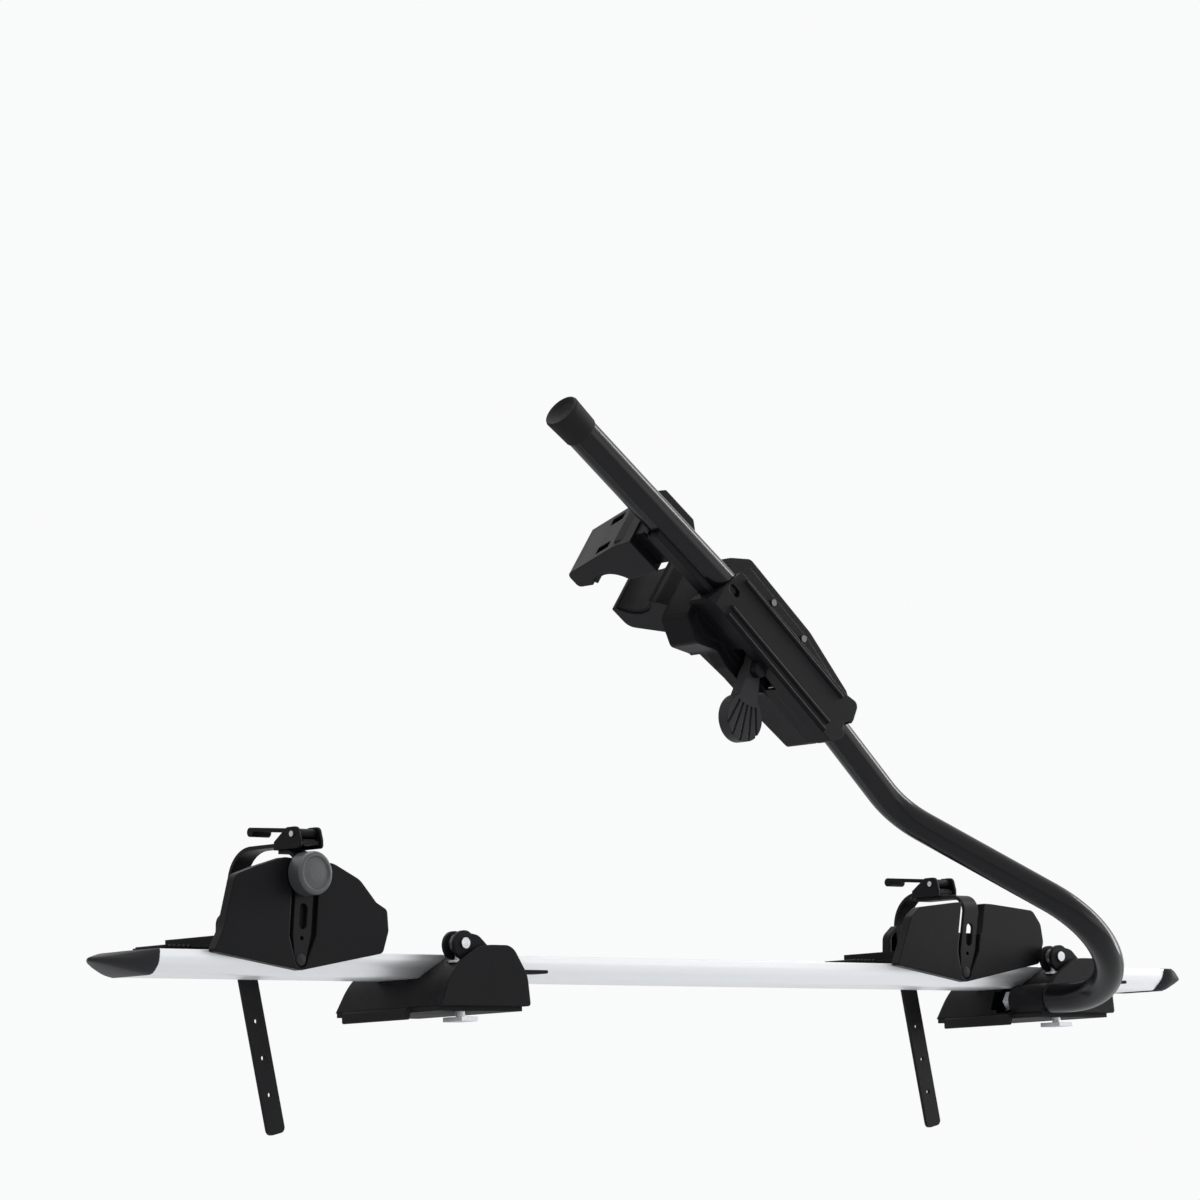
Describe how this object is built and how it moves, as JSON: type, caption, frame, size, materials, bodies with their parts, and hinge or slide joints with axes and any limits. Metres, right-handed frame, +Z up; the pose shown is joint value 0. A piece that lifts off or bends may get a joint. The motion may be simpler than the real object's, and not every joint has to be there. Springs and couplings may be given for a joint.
{
  "type": "roof bike carrier",
  "caption": "Roof carrier for a bicycle: an aluminium rail on quick-clamp brackets, with strapped wheel holders and a folding frame-clamp arm.",
  "frame": {"origin": "middle of the rear bracket's bar seat, on the rail's centre plane, at the clamp bolt's station", "axes": "+X forward along the rail, +Y to the left across the rail, +Z up; the arm stands on the -Y side"},
  "size_m": [1.3394, 0.2729, 0.6419],
  "materials": {
    "rail_aluminium": "satin anodised",
    "zinc_steel": "bright zinc",
    "dark_steel": "black oxide",
    "black_moulding": "fine matte",
    "grey_moulding": "fine matte",
    "cap_grey": "satin",
    "strap_plastic": "satin",
    "black_rubber": "matte",
    "black_powder_coat": "satin"
  },
  "bodies": {
    "carrier": {"rail": "rail_aluminium", "rear_end_cap": "grey_moulding", "front_end_cap": "grey_moulding", "rail_screws": "zinc_steel", "rear_bracket": "black_moulding", "rear_bar_pad": "black_rubber", "rear_cam_saddle": "zinc_steel", "rear_t_bolt": "zinc_steel", "rear_cam_pin": "zinc_steel", "front_bracket": "black_moulding", "front_bar_pad": "black_rubber", "front_cam_saddle": "zinc_steel", "front_t_bolt": "zinc_steel", "front_cam_pin": "zinc_steel", "axle_bush": "grey_moulding"},
    "rear_cam": {"rear_cam_lever": "black_moulding"},
    "front_cam": {"front_cam_lever": "black_moulding"},
    "rear_holder": {"rear_cradle": "black_moulding", "rear_slide_shoe": "grey_moulding", "rear_shoe_screws": "zinc_steel", "rear_base_strap": "strap_plastic", "rear_ladder_strap": "strap_plastic", "rear_strap_rivets": "grey_moulding", "rear_buckle": "black_moulding", "rear_buckle_pin": "zinc_steel", "rear_strap_cap": "cap_grey"},
    "rear_ratchet": {"rear_ratchet_lever": "black_moulding"},
    "front_holder": {"front_cradle": "black_moulding", "front_slide_shoe": "grey_moulding", "front_shoe_screws": "zinc_steel", "front_base_strap": "strap_plastic", "front_ladder_strap": "strap_plastic", "front_strap_rivets": "grey_moulding", "front_buckle": "black_moulding", "front_buckle_pin": "zinc_steel"},
    "front_ratchet": {"front_ratchet_lever": "black_moulding"},
    "arm": {"arm_tube": "black_powder_coat", "arm_axle": "zinc_steel", "axle_nut": "zinc_steel", "clamp_housing": "black_moulding", "clamp_cover": "black_moulding", "cover_screws": "dark_steel", "fixed_jaw_pad": "black_rubber", "paddle_pin": "zinc_steel", "paddle_spring": "zinc_steel"},
    "release": {"release_paddle": "grey_moulding"},
    "grip": {"upper_tube": "black_powder_coat", "handle_cap": "black_rubber", "clamp_rack": "black_moulding", "moving_jaw": "black_moulding", "moving_jaw_pad": "black_rubber"}
  },
  "joints": [
    {"name": "arm_fold", "type": "hinge", "parent": "carrier", "child": "arm", "pos_m": [0.752, 0, 0.017], "axis": [0, 1, 0], "range_deg": [-27, 50]},
    {"name": "clamp_slide", "type": "slide", "parent": "arm", "child": "grip", "axis": [-0.809, 0, 0.5878], "range_m": [-0.02, 0.04]},
    {"name": "release_squeeze", "type": "hinge", "parent": "arm", "child": "release", "pos_m": [0.34201, -0.086, 0.30904], "axis": [0, -1, 0], "range_deg": [0, 10], "stiffness_Nm_per_rad": 0.6},
    {"name": "rear_cam_hinge", "type": "hinge", "parent": "carrier", "child": "rear_cam", "pos_m": [0, -0.058, 0.058], "axis": [0, -1, 0], "range_deg": [0, 110]},
    {"name": "front_cam_hinge", "type": "hinge", "parent": "carrier", "child": "front_cam", "pos_m": [0.774, -0.058, 0.058], "axis": [0, -1, 0], "range_deg": [0, 110]},
    {"name": "rear_holder_slide", "type": "slide", "parent": "carrier", "child": "rear_holder", "axis": [1, 0, 0], "range_m": [-0.015, 0.025]},
    {"name": "front_holder_slide", "type": "slide", "parent": "carrier", "child": "front_holder", "axis": [1, 0, 0], "range_m": [-0.03, 0.008]},
    {"name": "rear_ratchet_hinge", "type": "hinge", "parent": "rear_holder", "child": "rear_ratchet", "pos_m": [-0.15985, -0.044, 0.148], "axis": [1, 0, 0], "range_deg": [0, 75]},
    {"name": "front_ratchet_hinge", "type": "hinge", "parent": "front_holder", "child": "front_ratchet", "pos_m": [0.67137, -0.006, 0.129], "axis": [1, 0, 0], "range_deg": [0, 75]}
  ]
}
